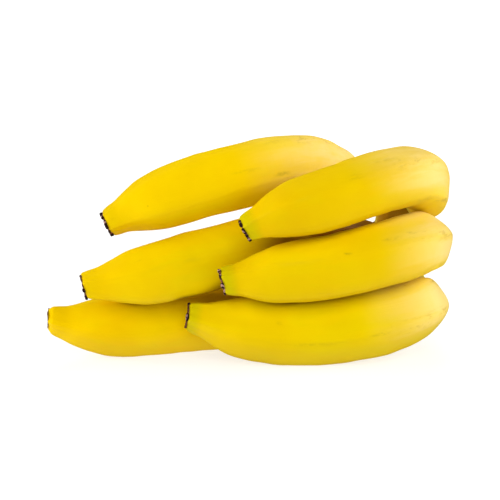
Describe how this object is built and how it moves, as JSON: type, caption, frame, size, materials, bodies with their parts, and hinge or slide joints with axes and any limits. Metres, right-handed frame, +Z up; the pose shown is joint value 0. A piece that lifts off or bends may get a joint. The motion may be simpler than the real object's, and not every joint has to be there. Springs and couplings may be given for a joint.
{
  "type": "hand of bananas",
  "caption": "Hand of ripe yellow bananas lying on its side: two rows of curved fingers joined at one crown.",
  "frame": {"origin": "middle of the bounding box at the surface the hand lies on", "axes": "+X from the blossom ends towards the bend of the front row, +Y to the rear, where the crown is, +Z up"},
  "size_m": [0.2532, 0.1519, 0.1367],
  "materials": {
    "peel": "satin",
    "blossom_end": "dry and rough",
    "crown": "matte, with a fibrous cut"
  },
  "bodies": {
    "root": {"finger_front_top": "peel", "finger_front_middle": "peel", "finger_front_bottom": "peel", "finger_back_top": "peel", "finger_back_middle": "peel", "finger_back_bottom": "peel", "blossom_front_top": "blossom_end", "blossom_front_middle": "blossom_end", "blossom_front_bottom": "blossom_end", "blossom_back_top": "blossom_end", "blossom_back_middle": "blossom_end", "blossom_back_bottom": "blossom_end", "crown": "crown"}
  },
  "joints": []
}
